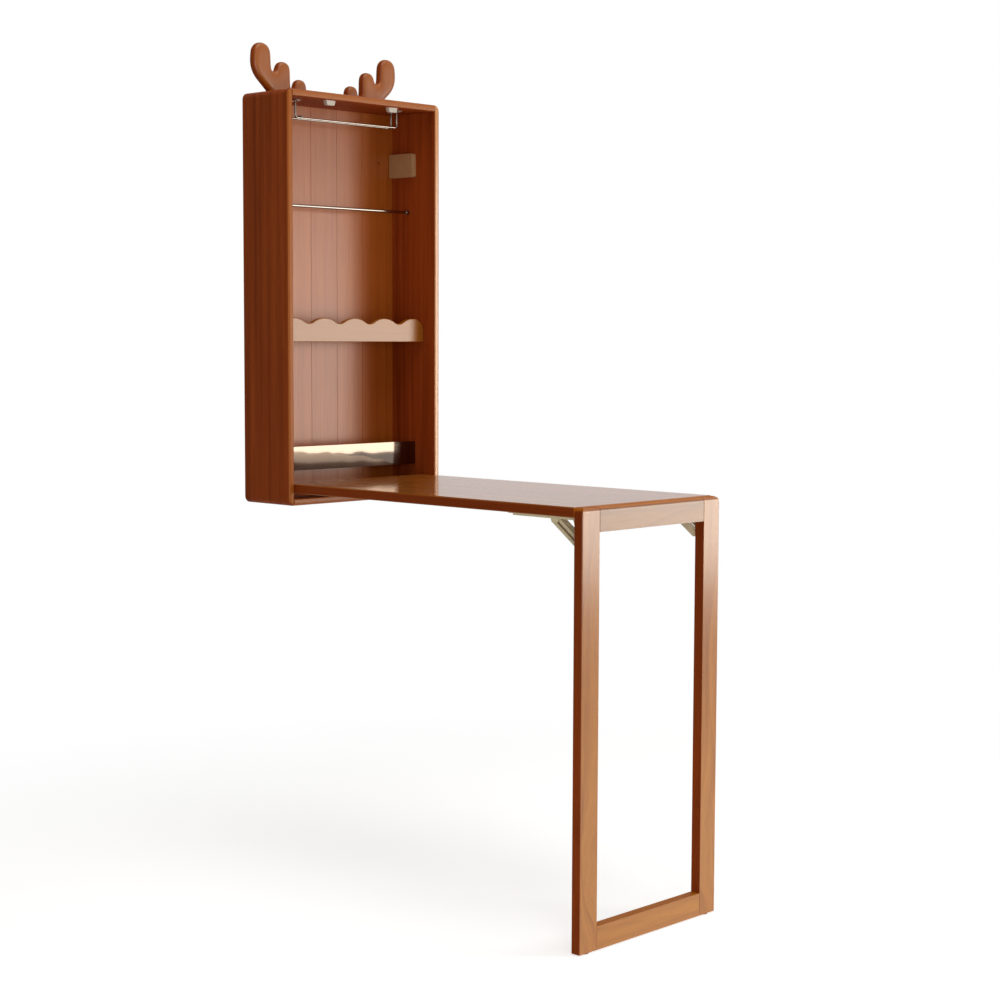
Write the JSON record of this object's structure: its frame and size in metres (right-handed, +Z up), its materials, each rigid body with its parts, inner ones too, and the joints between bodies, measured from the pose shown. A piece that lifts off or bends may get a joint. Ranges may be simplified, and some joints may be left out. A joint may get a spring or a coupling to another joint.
{
  "type": "folding bar table",
  "caption": "Wall cabinet with shelves, glass rack and antlers, whose bar table and leg frame fold up to close its front.",
  "frame": {"origin": "middle of the four wall screw holes, on the rear face of the cabinet's back, which is the wall's face", "axes": "+X to the right along the wall, +Y into the wall, +Z up"},
  "size_m": [0.54, 1.16, 2.16],
  "materials": {
    "case_wood": "satin lacquer",
    "lip_wood": "satin lacquer",
    "board_wood": "gloss lacquer",
    "leg_wood": "satin lacquer",
    "dowel_beech": "raw",
    "guard_mirror": "polished",
    "chrome": "polished",
    "zinc_steel": "zinc plated",
    "bracket_enamel": "satin",
    "white_plastic": "moulded",
    "beige_plastic": "moulded",
    "bush_nylon": "moulded",
    "glide_rubber": "moulded"
  },
  "bodies": {
    "cabinet": {"left_side_panel": "case_wood", "right_side_panel": "case_wood", "top_panel": "case_wood", "bottom_panel": "case_wood", "back_panel": "case_wood", "panel_dowels": "dowel_beech", "middle_shelf_dowels": "dowel_beech", "bottle_shelf_dowels": "dowel_beech", "antler_left": "case_wood", "antler_right": "case_wood", "antler_dowels": "dowel_beech", "middle_shelf": "case_wood", "shelf_wave_lip": "lip_wood", "lip_dowels": "dowel_beech", "bottle_shelf": "case_wood", "bottle_guard": "guard_mirror", "hanging_rod": "chrome", "rod_cup_left": "chrome", "rod_cup_right": "chrome", "guard_screws": "zinc_steel", "socket_housing": "beige_plastic", "socket_cover": "beige_plastic", "socket_screws": "zinc_steel", "catch_housing_left": "white_plastic", "catch_housing_right": "white_plastic", "catch_magnets": "zinc_steel", "catch_screws": "zinc_steel", "rack_wire_front": "chrome", "rack_wire_rear": "chrome", "rack_end_stop": "chrome", "rack_plate_left": "chrome", "rack_plate_right": "chrome", "rack_screws": "zinc_steel", "hinge_bush_left": "bush_nylon", "hinge_bush_right": "bush_nylon"},
    "table": {"table_board": "board_wood", "hinge_pin_left": "zinc_steel", "hinge_pin_right": "zinc_steel", "strike_plate_left": "zinc_steel", "strike_plate_right": "zinc_steel", "strike_screws": "zinc_steel", "table_rail_left": "bracket_enamel", "table_rail_right": "bracket_enamel", "table_rail_screws": "zinc_steel", "fold_pins": "zinc_steel", "slot_pins": "zinc_steel"},
    "leg_frame": {"leg_stile_left": "leg_wood", "leg_stile_right": "leg_wood", "leg_top_rail": "leg_wood", "leg_bottom_rail": "leg_wood", "leg_dowels": "dowel_beech", "foot_glides": "glide_rubber", "leg_rail_left": "bracket_enamel", "leg_rail_right": "bracket_enamel", "leg_rail_screws": "zinc_steel", "strap_rivets": "zinc_steel"},
    "strap_l": {"strap_left": "bracket_enamel"},
    "strap_r": {"strap_right": "bracket_enamel"}
  },
  "joints": [
    {"name": "table_fold", "type": "hinge", "parent": "cabinet", "child": "table", "pos_m": [0, -0.149, -0.486], "axis": [-1, 0, 0], "range_deg": [0, 90]},
    {"name": "leg_fold", "type": "hinge", "parent": "table", "child": "leg_frame", "pos_m": [0, -1.122, -0.51], "axis": [1, 0, 0], "range_deg": [0, 90]},
    {"name": "strap_swing_l", "type": "hinge", "parent": "leg_frame", "child": "strap_l", "pos_m": [-0.2192, -1.122, -0.561], "axis": [-1, 0, 0], "range_deg": [0, 126.52]},
    {"name": "strap_swing_r", "type": "hinge", "parent": "leg_frame", "child": "strap_r", "pos_m": [0.2192, -1.122, -0.561], "axis": [-1, 0, 0], "range_deg": [0, 126.52]}
  ],
  "couplings": [
    {"joint": "leg_fold", "follows": "table_fold", "ratio": 1},
    {"joint": "strap_swing_l", "follows": "table_fold", "ratio": 1.4052},
    {"joint": "strap_swing_r", "follows": "table_fold", "ratio": 1.4052}
  ]
}
